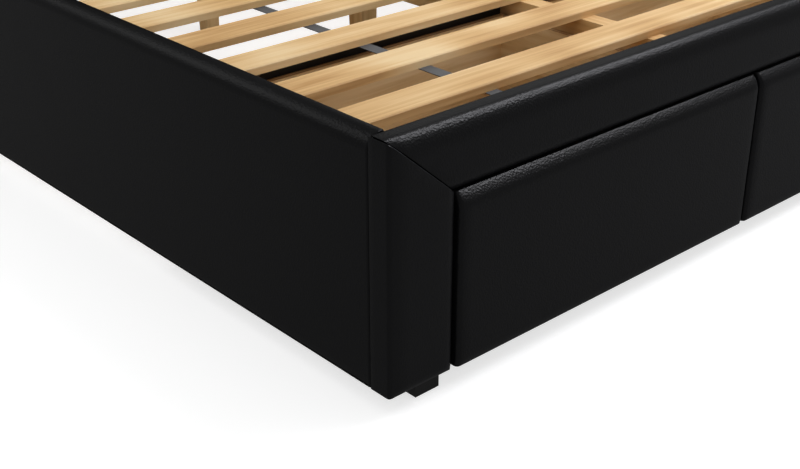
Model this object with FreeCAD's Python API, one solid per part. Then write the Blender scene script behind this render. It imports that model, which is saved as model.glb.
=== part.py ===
"""Queen-size platform bed with two drawers in the footboard.

Upholstered boards form a headboard, two side rails and a mitred footboard frame. Two drawer boxes run on
telescopic ball-bearing slides in a carcass behind the footboard, under a deck of slats.

Millimetres. +X is to the right as seen from the foot, +Y points to the head and +Z is up. The origin is on
the floor, in the middle of the bed's outline.
"""

import FreeCAD
import Part
import math
import os

V = FreeCAD.Vector

# ---------------------------------------------------------------- driving dimensions
# The mattress that the bed is made for, and the room left round it.
mattress_width = 1524.0
mattress_length = 2032.0
mattress_clearance = 5.0

# Levels above the floor.
foot_height = 33.0
rail_top = 400.0
deck_top = 325.0
headboard_top = 1120.0

# Upholstery: foam and leatherette on a board's face and edges, leatherette alone on its back.
wrap = 2.0
edge_pad_top = 6.0
edge_pad_bottom = 3.0
return_top = 45.0
return_bottom = 20.0
edge_radius = 3.0
back_radius = 2.5

# Side rails. The foam rolls over the top edge, and the leatherette reaches down past the slats behind.
side_board = 18.0
side_pad = 8.0
side_roll = 18.0
side_return = 85.0

# Footboard frame: two posts and a top rail, mitred at the upper corners.
foot_board = 25.0
foot_pad = 11.0
foot_roll = 20.0
foot_back_roll = 6.0
post_face = 112.0
top_rail_face = 98.0
mitre_wrap = 1.4

# Drawer fronts, set in the footboard frame.
front_board = 18.0
front_pad = 12.0
front_roll = 14.0
front_return = 25.0
gap_side = 9.0
gap_top = 6.0
gap_centre = 6.0
front_lift = 2.0

# Drawer boxes.
box_wall = 12.0
box_height = 220.0
box_lift = 9.0
bottom_sheet = 6.0
groove_depth = 6.0
groove_lift = 10.0
box_overrun = 6.0

# Carcass behind the footboard.
carcass_board = 18.0
box_back_room = 8.0
back_sheet = 15.0
stretcher_width = 80.0
stretcher_thickness = 18.0
stretcher_setback = 4.0

# Block feet.
foot_size = 44.0
foot_inset_side = 59.0
foot_inset_front = 14.0
foot_inset_rear = 16.0
foot_chamfer = 3.0

# Telescopic slides, one each side of a drawer box.
slide_width = 12.7
slide_height = 45.7
slide_length = 500.0
slide_level = 150.0
slide_sheet = 1.2
slide_lip = 1.2
slide_overlap = 40.0
slide_gap = 0.3
slide_setback = 5.0
slide_bend = 1.5
ball_room = 3.2
cage_sheet = 0.6
cage_reach = 7.0
cage_windows = 3
window_length = 3.0
window_width = 3.0
window_rim = 1.2

# Deck.
slat_count = 14
slat_width = 70.0
slat_thickness = 14.0
slat_end_room = 2.0
slat_chamfer = 2.0
first_slat_inset = 60.0
ledger_width = 25.0
ledger_height = 35.0
beam_width = 36.0
beam_height = 70.0
beam_leg_size = 45.0
beam_leg_places = (-100.0, 500.0)
beam_leg_taper = 5.0
webbing_place = 400.0
webbing_width = 25.0
webbing_thickness = 1.2

# Headboard.
border_face = 113.0
border_thickness = 53.0
border_roll = 15.0
panel_sheet = 15.0
panel_overlap = 80.0
panel_bottom = 200.0
pad_thickness = 38.0
pad_roll = 12.0
pad_gap = 6.0
pad_columns = 2
pad_rows = 2
pad_bottom = 318.0
leg_width = 90.0
leg_thickness = 27.0
leg_height = 760.0
leg_inset = 90.0

# Steel corner brackets and their bolts.
bracket_leg = 60.0
bracket_height = 120.0
bracket_sheet = 3.0
bracket_level = 100.0
bracket_bend = 4.0
bolt_diameter = 8.0
bolt_clearance = 0.2
bolt_reach = 16.0
bolt_head_size = 13.0
bolt_head_height = 5.3
bolt_spacing = 70.0
bolt_inset = 35.0

# Hanger that carries the beam at the headboard.
hanger_sheet = 2.0
hanger_depth = 40.0
hanger_ear = 30.0

# ---------------------------------------------------------------- dimensions that follow
inner_width = mattress_width + 2 * mattress_clearance
inner_length = mattress_length + 2 * mattress_clearance
side_thickness = side_pad + side_board + wrap
foot_thickness = foot_pad + foot_board + wrap
headboard_thickness = border_thickness + leg_thickness
bed_width = inner_width + 2 * side_thickness
bed_length = foot_thickness + inner_length + headboard_thickness

half_width = bed_width / 2
half_inner = inner_width / 2
foot_front = -bed_length / 2
foot_back = foot_front + foot_thickness
head_front = foot_back + inner_length
rail_height = rail_top - foot_height
post_inner = half_width - post_face
slat_bottom = deck_top - slat_thickness
beam_bottom = slat_bottom - beam_height

front_thickness = front_pad + front_board + wrap
front_back = foot_front + front_thickness
front_bottom = foot_height + front_lift
front_top = rail_top - top_rail_face - gap_top
front_inner = gap_centre / 2
front_outer = post_inner - gap_side

stretcher_front = foot_back + stretcher_setback
stretcher_top = foot_height + stretcher_thickness
carcass_top = rail_top - top_rail_face
partition_face = carcass_board / 2
box_inner = partition_face + slide_width
box_outer = post_inner - slide_width
box_middle = (partition_face + post_inner) / 2
box_bottom = stretcher_top + box_lift
box_top = box_bottom + box_height
groove_bottom = box_bottom + groove_lift

slide_front = foot_back + slide_setback
slide_travel = slide_length - slide_overlap
box_back = slide_front + slide_length + box_overrun
carcass_back = box_back + box_back_room + back_sheet
cage_length = slide_length - slide_travel / 2
cage_front = slide_front + slide_travel / 4
cage_room = cage_sheet + slide_gap

panel_front = head_front + border_thickness - panel_sheet
border_inner = half_width - border_face
slat_pitch = (inner_length - 2 * first_slat_inset) / (slat_count - 1)


# ---------------------------------------------------------------- shape helpers
def point_on(axis, u, v, along=0.0):
    """A point given by its two coordinates in the plane across an axis, in X, Y, Z order."""
    if axis == "x":
        return V(along, u, v)
    if axis == "y":
        return V(u, along, v)
    return V(u, v, along)


def rounded_wire(corners, axis, along):
    """A closed wire through corners (u, v, radius), with an arc at each corner that has a radius."""
    count = len(corners)
    starts, ends, arcs = [], [], []
    for i, (u, v, radius) in enumerate(corners):
        here = V(u, v, 0)
        before = V(*corners[i - 1][:2], 0) - here
        after = V(*corners[(i + 1) % count][:2], 0) - here
        half_turn = before.getAngle(after) / 2
        room = 0.49 * min(before.Length, after.Length) * math.tan(half_turn)
        r = min(radius, room)
        before.normalize()
        after.normalize()
        cut = r / math.tan(half_turn) if r else 0.0
        middle = before + after
        if r:
            middle.normalize()
            reach = r / math.sin(half_turn) - r
            arcs.append(here + middle * reach)
        else:
            arcs.append(None)
        starts.append(here + before * cut)
        ends.append(here + after * cut)

    def place(p):
        return point_on(axis, p.x, p.y, along)

    edges = []
    for i in range(count):
        if arcs[i] is not None:
            edges.append(Part.Arc(place(starts[i]), place(arcs[i]), place(ends[i])).toShape())
        edges.append(Part.LineSegment(place(ends[i]), place(starts[(i + 1) % count])).toShape())
    return Part.Wire(edges)


def prism(corners, axis, start, end):
    """An outline of (u, v, radius) corners, extruded along an axis from start to end."""
    face = Part.Face(rounded_wire(corners, axis, start))
    return face.extrude(point_on(axis, 0, 0, end - start))


def block(x, y, z):
    """A box between two coordinates on each axis."""
    size = (x[1] - x[0], y[1] - y[0], z[1] - z[0])
    return Part.makeBox(*size, V(x[0], y[0], z[0]))


def rod(axis, at, start, end, diameter):
    """A round bar along X or Y, at a point given across that axis."""
    direction = V(1, 0, 0) if axis == "x" else V(0, 1, 0)
    length = end - start
    if length < 0:
        direction = direction * -1
    return Part.makeCylinder(diameter / 2, abs(length), point_on(axis, *at, start), direction)


def mirrored(shape, middle=0.0):
    """The shape's mirror image across the plane x = middle."""
    return shape.mirror(V(middle, 0, 0), V(1, 0, 0))


def edges_on(shape, index, place):
    """The edges that lie wholly in the plane where coordinate number index equals place."""
    return [
        e for e in shape.Edges
        if all(abs(v.Point[index] - place) < 1e-6 for v in e.Vertexes)
    ]


def save(name, *shapes):
    """Writes one node, made of one or more separate solids."""
    shape = shapes[0] if len(shapes) == 1 else Part.makeCompound(list(shapes))
    shape.exportStep(os.path.join("parts", name + ".step"))


def save_pair(name, right):
    """Writes a right-hand node and its mirror image on the left."""
    save("right_" + name, right)
    save("left_" + name, mirrored(right))


# ---------------------------------------------------------------- upholstered rails
def cover_corners(through, across, pad, edge_pads, returns, radii):
    """The section of a cover that wraps a board, with its open side at the back.

    The first coordinate runs through the board, from face to back, and the second across it, from low to
    high. Edge pads and returns are given at the low and the high edge. The radii are those of the face's
    low edge, the back's two edges and the face's high edge.
    """
    face, back = through
    low, high = across
    d = 1 if back > face else -1
    board_face = face + d * pad
    board_back = back - d * wrap
    return [
        (face, low, radii[0]),
        (back, low, radii[1]),
        (back, low + returns[0], 0),
        (board_back, low + returns[0], 0),
        (board_back, low + edge_pads[0], 0),
        (board_face, low + edge_pads[0], 0),
        (board_face, high - edge_pads[1], 0),
        (board_back, high - edge_pads[1], 0),
        (board_back, high - returns[1], 0),
        (back, high - returns[1], 0),
        (back, high, radii[2]),
        (face, high, radii[3]),
    ]


def swapped(corners):
    """The same outline with its two coordinates exchanged."""
    return [(v, u, r) for u, v, r in corners]


def side_rail():
    """The right side rail's board and cover."""
    board_face = half_width - side_pad
    board_back = half_inner + wrap
    span = (foot_back, head_front)
    board = block((board_back, board_face), span, (foot_height + edge_pad_bottom, rail_top - edge_pad_top))
    corners = cover_corners(
        (half_width, half_inner), (foot_height, rail_top), side_pad,
        (edge_pad_bottom, edge_pad_top), (return_bottom, side_return),
        (edge_radius, back_radius, edge_radius, side_roll),
    )
    cover = prism(corners, "y", *span)
    return board.cut(rail_bolt_holes()), cover


def frame_field(left, right, inset=0.0):
    """The footboard's outline seen from the front, cut at the mitres: its top rail, or one post.

    An inset draws the cuts back from the mitres, for the boards that the covers close over.
    """
    mitre_low = rail_top - top_rail_face
    if left < 0 < right:
        corners = [
            (left + inset, rail_top, 0), (right - inset, rail_top, 0),
            (right - post_face - inset, mitre_low, 0), (left + post_face + inset, mitre_low, 0),
        ]
    else:
        corners = [
            (right, foot_height, 0), (right, rail_top - inset, 0),
            (left, mitre_low - inset, 0), (left, foot_height, 0),
        ]
    return prism(corners, "y", foot_front, foot_back)


def close_mitres(blank, cover, left, right):
    """Cuts a board at the mitres, and lets its cover run to them and close over the board's ends."""
    field = frame_field(left, right)
    board = blank.common(frame_field(left, right, mitre_wrap))
    ends = blank.common(field).cut(board)
    return board, cover.common(field).fuse(ends).removeSplitter()


def top_rail():
    """The footboard's top rail: board and cover, mitred at both ends."""
    low = rail_top - top_rail_face
    blank = block(
        (-half_width, half_width),
        (foot_front + foot_pad, foot_back - wrap),
        (low + edge_pad_bottom, rail_top - edge_pad_top),
    )
    corners = cover_corners(
        (foot_front, foot_back), (low, rail_top), foot_pad,
        (edge_pad_bottom, edge_pad_top), (return_bottom, return_top),
        (edge_radius, back_radius, foot_back_roll, foot_roll),
    )
    cover = prism(corners, "x", -half_width, half_width)
    return close_mitres(blank, cover, -half_width, half_width)


def post():
    """The right post: board and cover, mitred at the top."""
    blank = block(
        (post_inner + edge_pad_bottom, half_width - edge_pad_top),
        (foot_front + foot_pad, foot_back - wrap),
        (foot_height + edge_pad_bottom, rail_top),
    )
    corners = cover_corners(
        (foot_front, foot_back), (post_inner, half_width), foot_pad,
        (edge_pad_bottom, edge_pad_top), (return_bottom, return_bottom),
        (edge_radius, back_radius, back_radius, edge_radius),
    )
    cover = prism(swapped(corners), "z", foot_height + edge_pad_bottom, rail_top)
    sole = prism(post_sole_corners(), "z", foot_height, foot_height + edge_pad_bottom)
    board, cover = close_mitres(blank, cover.fuse(sole), post_inner, half_width)
    return board.cut(post_bolt_holes()), cover


def post_sole_corners():
    """The outline of the leatherette folded under a post."""
    return [
        (post_inner, foot_front, edge_radius),
        (half_width, foot_front, edge_radius),
        (half_width, foot_back, back_radius),
        (post_inner, foot_back, back_radius),
    ]


# ---------------------------------------------------------------- brackets and bolts
def bracket_places():
    """Each bracket on the right: where its corner is along Y, and which way it faces."""
    return [(foot_back - wrap, 1), (head_front, -1)]


def bolt_levels():
    """The heights of a bracket's two bolts."""
    middle = bracket_level + bracket_height / 2
    return [middle - bolt_spacing / 2, middle + bolt_spacing / 2]


def corner_bracket(corner, way):
    """An angle of sheet steel in the corner between the right rail and the board that it meets."""
    x = half_inner + wrap
    far = corner + way * (bracket_leg + (wrap if way > 0 else 0))
    corners = [
        (x, corner, 0), (x, far, 0), (x - bracket_sheet, far, 0),
        (x - bracket_sheet, corner + way * bracket_sheet, bracket_bend),
        (x - bracket_leg, corner + way * bracket_sheet, 0), (x - bracket_leg, corner, 0),
    ]
    plate = prism(corners, "z", bracket_level, bracket_level + bracket_height)
    hole = bolt_diameter + 2 * bolt_clearance
    for z in bolt_levels():
        plate = plate.cut(rod("x", (rail_bolt_y(corner, way), z), x - 2 * bracket_sheet, x + 1, hole))
        start = corner - way
        plate = plate.cut(rod("y", (post_bolt_x(), z), start, corner + 2 * way * bracket_sheet, hole))
    return plate


def rail_bolt_y(corner, way):
    """Where the bolts into the rail stand along Y."""
    return corner + way * (bolt_inset + bolt_head_height)


def post_bolt_x():
    """Where the bolts into the post or the headboard stand along X."""
    return half_inner + wrap - bolt_inset


def bolt(axis, at, seat, way):
    """A hexagon bolt. Its head sits on a bracket at seat, and its shank runs from there in direction way."""
    shank = rod(axis, at, seat, seat + way * (bracket_sheet + bolt_reach), bolt_diameter)
    reach = bolt_head_size / math.sqrt(3)
    corners = [
        (at[0] + reach * math.cos(math.radians(turn)), at[1] + reach * math.sin(math.radians(turn)), 0)
        for turn in range(0, 360, 60)
    ]
    head = prism(corners, axis, seat - way * bolt_head_height, seat)
    return head.fuse(shank)


def bolts():
    """All sixteen bolts."""
    made = []
    x = half_inner + wrap - bracket_sheet
    for corner, way in bracket_places():
        for z in bolt_levels():
            made.append(bolt("x", (rail_bolt_y(corner, way), z), x, 1))
            made.append(bolt("y", (post_bolt_x(), z), corner + way * bracket_sheet, -way))
    return made + [mirrored(b) for b in made]


def rail_bolt_holes():
    """Holes for the bolts into the right rail."""
    x = half_inner + wrap
    hole = bolt_diameter + 2 * bolt_clearance
    rods = [
        rod("x", (rail_bolt_y(corner, way), z), x, x + bolt_reach + bolt_clearance, hole)
        for corner, way in bracket_places() for z in bolt_levels()
    ]
    return Part.makeCompound(rods)


def post_bolt_holes(corner=None, way=-1):
    """Holes for the bolts into the right post, or into the right border of the headboard."""
    start = foot_back - wrap if corner is None else corner
    hole = bolt_diameter + 2 * bolt_clearance
    rods = [
        rod("y", (post_bolt_x(), z), start, start + way * (bolt_reach + bolt_clearance), hole)
        for z in bolt_levels()
    ]
    return Part.makeCompound(rods)


# ---------------------------------------------------------------- carcass and feet
def carcass_side():
    """The panel behind the right post."""
    x = (post_inner, post_inner + carcass_board)
    return block(x, (foot_back, carcass_back), (foot_height, carcass_top))


def centre_partition():
    """The panel between the drawers, which also carries the beam."""
    x = (-partition_face, partition_face)
    return block(x, (stretcher_front, carcass_back - back_sheet), (stretcher_top, beam_bottom))


def carcass_back_panel():
    """The back of the carcass, notched for the beam."""
    y = (carcass_back - back_sheet, carcass_back)
    panel = block((-post_inner, post_inner), y, (foot_height, carcass_top))
    notch = block((-beam_width / 2, beam_width / 2), y, (beam_bottom, carcass_top))
    return panel.cut(notch)


def stretcher(front):
    """A flat board that ties the carcass together under the drawer boxes."""
    return block((-post_inner, post_inner), (front, front + stretcher_width), (foot_height, stretcher_top))


def block_foot(x, y):
    """A square foot with its lower edges chamfered, given its lowest x and y."""
    foot = block((x, x + foot_size), (y, y + foot_size), (0, foot_height))
    return foot.makeChamfer(foot_chamfer, edges_on(foot, 2, 0.0))


def feet():
    """Six feet: at both ends of the carcass sides and of the partition."""
    front = foot_front + foot_inset_front
    rear = carcass_back - foot_inset_rear - foot_size
    outer = half_width - foot_inset_side - foot_size
    middle = -foot_size / 2
    made = [block_foot(outer, front), block_foot(outer, rear)]
    made += [mirrored(f) for f in made]
    return made + [block_foot(middle, stretcher_front + foot_inset_rear), block_foot(middle, rear)]


# ---------------------------------------------------------------- drawers
def drawer_front():
    """The right drawer front: its board, and the cover that wraps its face and all four edges."""
    x = (front_inner, front_outer)
    y = (foot_front, front_back)
    z = (front_bottom, front_top)
    board = block(
        (x[0] + edge_pad_bottom, x[1] - edge_pad_bottom),
        (y[0] + front_pad, y[1] - wrap),
        (z[0] + edge_pad_bottom, z[1] - edge_pad_bottom),
    )
    section = [(y[0], z[0], edge_radius), (y[1], z[0], 0), (y[1], z[1], 0), (y[0], z[1], front_roll)]
    plan = [(x[0], y[0], edge_radius), (x[1], y[0], edge_radius), (x[1], y[1], 0), (x[0], y[1], 0)]
    cover = prism(section, "x", *x).common(prism(plan, "z", *z))
    window = block(
        (x[0] + front_return, x[1] - front_return),
        (y[1] - wrap, y[1]),
        (z[0] + front_return, z[1] - front_return),
    )
    return board, cover.cut(board).cut(window)


def box_sides():
    """The right drawer box's two sides, each with a groove for the bottom."""
    inner = block((box_inner, box_inner + box_wall), (front_back, box_back), (box_bottom, box_top))
    return inner.cut(bottom_panel()), mirrored(inner, box_middle).cut(bottom_panel())


def box_end(y):
    """The front or back of the right drawer box, between its sides, given its lowest y."""
    x = (box_inner + box_wall, box_outer - box_wall)
    end = block(x, (y, y + box_wall), (box_bottom, box_top))
    return end.cut(bottom_panel())


def bottom_panel():
    """The right drawer's bottom, held in grooves on all four sides."""
    into = box_wall - groove_depth
    return block(
        (box_inner + into, box_outer - into),
        (front_back + into, box_back - into),
        (groove_bottom, groove_bottom + bottom_sheet),
    )


def save_drawer():
    """Writes both drawers' boxes and fronts."""
    board, cover = drawer_front()
    inner, outer = box_sides()
    save_pair("drawer_front_board", board)
    save_pair("drawer_front_cover", cover)
    save_pair("drawer_inner_side", inner)
    save_pair("drawer_outer_side", outer)
    save_pair("drawer_box_front", box_end(front_back))
    save_pair("drawer_box_back", box_end(box_back - box_wall))
    save_pair("drawer_bottom", bottom_panel())


# ---------------------------------------------------------------- telescopic slides
def channel(web, tips, half, sheet, lip, start, end):
    """A channel along Y, with its web at x = web and flanges that reach to x = tips, where lips turn in."""
    d = 1 if tips > web else -1
    inner = half - sheet
    corners = [
        (web, -half, slide_bend), (tips, -half, 0),
        (tips, -inner + lip, 0), (tips - d * sheet, -inner + lip, 0),
        (tips - d * sheet, -inner, 0), (web + d * sheet, -inner, 0),
        (web + d * sheet, inner, 0), (tips - d * sheet, inner, 0),
        (tips - d * sheet, inner - lip, 0), (tips, inner - lip, 0),
        (tips, half, 0), (web, half, slide_bend),
    ]
    if not lip:
        corners = [c for i, c in enumerate(corners) if i not in (3, 4, 7, 8)]
    shape = prism(corners, "y", start, end)
    shape.translate(V(0, 0, slide_level))
    return shape


def ball_cage(web, middle):
    """A cage between two members: a thin channel, with a row of windows for balls along each flange."""
    tips = web + cage_reach
    half = middle + cage_sheet / 2
    cage = channel(web, tips, half, cage_sheet, 0, cage_front, cage_front + cage_length)
    pitch = cage_length / cage_windows
    x = (tips - window_rim - window_width, tips - window_rim)
    z = (slide_level - 2 * half, slide_level + 2 * half)
    for i in range(cage_windows):
        y = cage_front + pitch * (i + 0.5)
        cage = cage.cut(block(x, (y - window_length / 2, y + window_length / 2), z))
    return cage


def slide_members():
    """The five pieces of the slide on the partition's right face, from the partition outwards."""
    start, end = slide_front, slide_front + slide_length
    wall = partition_face
    outer_web = wall
    outer_cage_web = outer_web + slide_sheet + slide_gap
    middle_web = outer_cage_web + cage_room
    inner_cage_web = middle_web + slide_sheet + slide_gap
    inner_tips = inner_cage_web + cage_room
    inner_web = wall + slide_width
    outer_half = slide_height / 2
    middle_half = outer_half - slide_sheet - ball_room
    inner_half = middle_half - slide_sheet - ball_room
    outer_tips = inner_web - slide_sheet - 2 * slide_gap
    return {
        "slide_outers": channel(outer_web, outer_tips, outer_half, slide_sheet, slide_lip, start, end),
        "slide_outer_cages": ball_cage(outer_cage_web, middle_half + ball_room / 2),
        "slide_middles": channel(middle_web, outer_tips, middle_half, slide_sheet, 0, start, end),
        "slide_inner_cages": ball_cage(inner_cage_web, inner_half + ball_room / 2),
        "slide_inners": channel(inner_web, inner_tips, inner_half, slide_sheet, 0, start, end),
    }


def save_slides():
    """Writes the slides of both drawers: each node holds the like pieces of the drawer's two sides."""
    for name, on_partition in slide_members().items():
        on_side = mirrored(on_partition, box_middle)
        save("right_" + name, on_partition, on_side)
        save("left_" + name, mirrored(on_partition), mirrored(on_side))


# ---------------------------------------------------------------- deck
def slat_ys():
    """The middle of each slat along Y."""
    return [foot_back + first_slat_inset + i * slat_pitch for i in range(slat_count)]


def slat(y):
    """A slat with its long upper edges chamfered."""
    reach = half_inner - slat_end_room
    wide = slat_width / 2
    narrow = wide - slat_chamfer
    shoulder = deck_top - slat_chamfer
    corners = [
        (y - wide, slat_bottom, 0), (y + wide, slat_bottom, 0), (y + wide, shoulder, 0),
        (y + narrow, deck_top, 0), (y - narrow, deck_top, 0), (y - wide, shoulder, 0),
    ]
    return prism(corners, "x", -reach, reach)


def ledger():
    """The strip on the right rail that carries the slats' ends."""
    x = half_inner + wrap
    return block((x - ledger_width, x), (foot_back, head_front), (slat_bottom - ledger_height, slat_bottom))


def beam():
    """The beam along the middle, from the footboard to the headboard's panel."""
    x = (-beam_width / 2, beam_width / 2)
    return block(x, (foot_back, panel_front - hanger_sheet), (beam_bottom, slat_bottom))


def beam_leg(y):
    """A leg under the beam, tapered towards the floor."""
    low = beam_leg_size / 2 - beam_leg_taper
    high = beam_leg_size / 2
    leg = Part.makeWedge(-low, 0, -low, -high, -high, low, beam_bottom, low, high, high)
    leg.rotate(V(0, 0, 0), V(1, 0, 0), 90)
    leg.translate(V(0, y, 0))
    return leg


def hanger():
    """A folded steel seat for the beam's end, with an ear each side against the headboard's panel."""
    inner = beam_width / 2
    outer = inner + hanger_sheet
    face = panel_front - hanger_sheet
    seat = beam_bottom - hanger_sheet
    corners = [
        (-outer, seat, 0), (outer, seat, 0), (outer, slat_bottom, 0), (inner, slat_bottom, 0),
        (inner, beam_bottom, 0), (-inner, beam_bottom, 0), (-inner, slat_bottom, 0),
        (-outer, slat_bottom, 0),
    ]
    cradle = prism(corners, "y", face - hanger_depth, face)
    ears = block((-outer - hanger_ear, outer + hanger_ear), (face, panel_front), (seat, slat_bottom))
    return cradle.fuse(ears).removeSplitter()


def webbing(x):
    """A strap stapled under the slats that keeps them apart."""
    ends = slat_ys()
    half = webbing_width / 2
    y = (ends[0] - slat_width / 2, ends[-1] + slat_width / 2)
    return block((x - half, x + half), y, (slat_bottom - webbing_thickness, slat_bottom))


# ---------------------------------------------------------------- headboard
def border_field(side):
    """The outline of one border seen from the front: the top one, or the right one."""
    low = headboard_top - border_face
    if side == "top":
        corners = [
            (-half_width, headboard_top, 0), (half_width, headboard_top, 0),
            (border_inner, low, 0), (-border_inner, low, 0),
        ]
    else:
        corners = [
            (half_width, foot_height, 0), (half_width, headboard_top, 0),
            (border_inner, low, 0), (border_inner, foot_height, 0),
        ]
    return prism(corners, "y", head_front, head_front + border_thickness)


def border_corners(outer, inner):
    """A border's section, rebated at the back for the panel. The second coordinate is across it."""
    back = head_front + border_thickness
    d = 1 if outer > inner else -1
    rebate = inner + d * panel_overlap
    return [
        (head_front, outer, border_roll), (back, outer, back_radius), (back, rebate, 0),
        (panel_front, rebate, 0), (panel_front, inner, 0), (head_front, inner, border_roll),
    ]


def border_top():
    """The headboard's top border, mitred at both ends."""
    bar = prism(border_corners(headboard_top, headboard_top - border_face), "x", -half_width, half_width)
    return bar.common(border_field("top"))


def border_side():
    """The headboard's right border, mitred at the top, with holes for the rail's bolts."""
    corners = swapped(border_corners(half_width, border_inner))
    bar = prism(corners, "z", foot_height, headboard_top).common(border_field("side"))
    return bar.cut(post_bolt_holes(head_front, 1))


def headboard_panel():
    """The board behind the pads, seated in the borders' rebates."""
    reach = border_inner + panel_overlap
    top = headboard_top - border_face + panel_overlap
    return block((-reach, reach), (panel_front, panel_front + panel_sheet), (panel_bottom, top))


def headboard_pad(column, row):
    """A padded board in the field between the borders."""
    field_top = headboard_top - border_face
    width = (2 * border_inner - (pad_columns + 1) * pad_gap) / pad_columns
    height = (field_top - pad_bottom - pad_rows * pad_gap) / pad_rows
    x = -border_inner + pad_gap + column * (width + pad_gap)
    z = pad_bottom + row * (height + pad_gap)
    pad = block((x, x + width), (panel_front - pad_thickness, panel_front), (z, z + height))
    return pad.makeFillet(pad_roll, edges_on(pad, 1, panel_front - pad_thickness))


def headboard_leg():
    """The right leg, screwed to the back of the panel."""
    x = border_inner - leg_inset
    y = head_front + border_thickness
    return block((x, x + leg_width), (y, y + leg_thickness), (0, leg_height))


# ---------------------------------------------------------------- nodes
os.makedirs("parts", exist_ok=True)

rail_board, rail_cover = side_rail()
save_pair("side_rail_board", rail_board)
save_pair("side_rail_cover", rail_cover)
save_pair("slat_ledger", ledger())

top_board, top_cover = top_rail()
save("foot_top_rail_board", top_board)
save("foot_top_rail_cover", top_cover)
post_board, post_cover = post()
save_pair("foot_post_board", post_board)
save_pair("foot_post_cover", post_cover)

save_pair("carcass_side", carcass_side())
save("carcass_partition", centre_partition())
save("carcass_back", carcass_back_panel())
save("front_stretcher", stretcher(stretcher_front))
save("rear_stretcher", stretcher(carcass_back - back_sheet - stretcher_width))
save("block_feet", *feet())

save_drawer()
save_slides()

save("slats", *[slat(y) for y in slat_ys()])
save("slat_webbing", webbing(-webbing_place), webbing(webbing_place))
save("centre_beam", beam())
save("beam_legs", *[beam_leg(y) for y in beam_leg_places])
save("beam_hanger", hanger())

right_brackets = [corner_bracket(corner, way) for corner, way in bracket_places()]
save("corner_brackets", *right_brackets, *[mirrored(b) for b in right_brackets])
save("bracket_bolts", *bolts())

save("headboard_top_border", border_top())
save_pair("headboard_border", border_side())
save("headboard_panel", headboard_panel())
save_pair("headboard_leg", headboard_leg())
for row, level in enumerate(("lower", "upper")):
    for column, hand in enumerate(("left", "right")):
        save(f"headboard_{level}_{hand}_pad", headboard_pad(column, row))
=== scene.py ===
# A queen-size platform bed with two drawers in its footboard, upholstered in black leatherette.
# Metres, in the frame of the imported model. The sections follow the bed as it is put together.
import math

import bpy
from mathutils import Matrix, Vector


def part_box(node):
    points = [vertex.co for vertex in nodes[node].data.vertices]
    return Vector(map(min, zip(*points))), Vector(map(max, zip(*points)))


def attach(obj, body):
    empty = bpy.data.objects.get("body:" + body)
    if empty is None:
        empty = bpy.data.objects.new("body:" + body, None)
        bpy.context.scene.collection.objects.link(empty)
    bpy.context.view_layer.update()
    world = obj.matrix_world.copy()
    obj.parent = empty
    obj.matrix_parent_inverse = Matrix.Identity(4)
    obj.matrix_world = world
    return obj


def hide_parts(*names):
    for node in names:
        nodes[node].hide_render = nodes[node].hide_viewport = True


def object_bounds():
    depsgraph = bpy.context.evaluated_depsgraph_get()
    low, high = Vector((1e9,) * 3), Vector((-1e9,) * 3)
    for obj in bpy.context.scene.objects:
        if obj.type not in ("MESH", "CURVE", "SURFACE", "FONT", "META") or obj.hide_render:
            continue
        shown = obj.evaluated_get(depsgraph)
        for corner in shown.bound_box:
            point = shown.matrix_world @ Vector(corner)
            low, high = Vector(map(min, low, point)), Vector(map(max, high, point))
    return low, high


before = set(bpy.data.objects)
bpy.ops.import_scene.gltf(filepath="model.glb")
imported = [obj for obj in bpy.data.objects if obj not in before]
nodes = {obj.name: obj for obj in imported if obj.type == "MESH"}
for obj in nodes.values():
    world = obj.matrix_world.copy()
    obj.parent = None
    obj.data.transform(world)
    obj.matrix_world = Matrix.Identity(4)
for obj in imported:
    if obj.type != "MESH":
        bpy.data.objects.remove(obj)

cad_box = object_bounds()

# ------------------------------------------------------------ board cores
# The cores of the rails, posts, drawer fronts and headboard are 18 and 25 mm particle board, sawn and
# drilled. Chips of 2 to 5 mm, glued and sanded, leave a pale mottled face.


def shade(hex_code):
    """An sRGB hex colour as linear red, green, blue and alpha."""
    parts = [int(hex_code[i:i + 2], 16) / 255 for i in (1, 3, 5)]
    return tuple(c / 12.92 if c <= 0.04045 else ((c + 0.055) / 1.055) ** 2.4 for c in parts) + (1.0,)


def add(tree, kind, sockets=None, stops=(), **settings):
    """Adds a node. Each socket is given a value, or the output of an earlier node to link from.

    Stops are the (position, hex colour) pairs of a colour ramp.
    """
    made = tree.nodes.new(kind)
    for name, value in settings.items():
        setattr(made, name, value)
    for name, value in (sockets or {}).items():
        if isinstance(value, bpy.types.NodeSocket):
            tree.links.new(value, made.inputs[name])
        else:
            made.inputs[name].default_value = value
    while stops and len(made.color_ramp.elements) < len(stops):
        made.color_ramp.elements.new(1.0)
    for i, (position, colour) in enumerate(stops):
        made.color_ramp.elements[i].position = position
        made.color_ramp.elements[i].color = shade(colour)
    return made


def blank(name, **sockets):
    """A new material: its tree, its surface shader with plain values set, and its Object coordinates."""
    material = bpy.data.materials.new(name)
    material.use_nodes = True
    tree = material.node_tree
    surface = tree.nodes["Principled BSDF"]
    for key, value in sockets.items():
        surface.inputs[key.replace("_", " ")].default_value = value
    place = add(tree, "ShaderNodeTexCoord").outputs["Object"]
    return material, tree, surface, place


def finish_with(material, *names):
    """Gives CAD nodes a material."""
    for name in names:
        nodes[name].data.materials.clear()
        nodes[name].data.materials.append(material)


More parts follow.
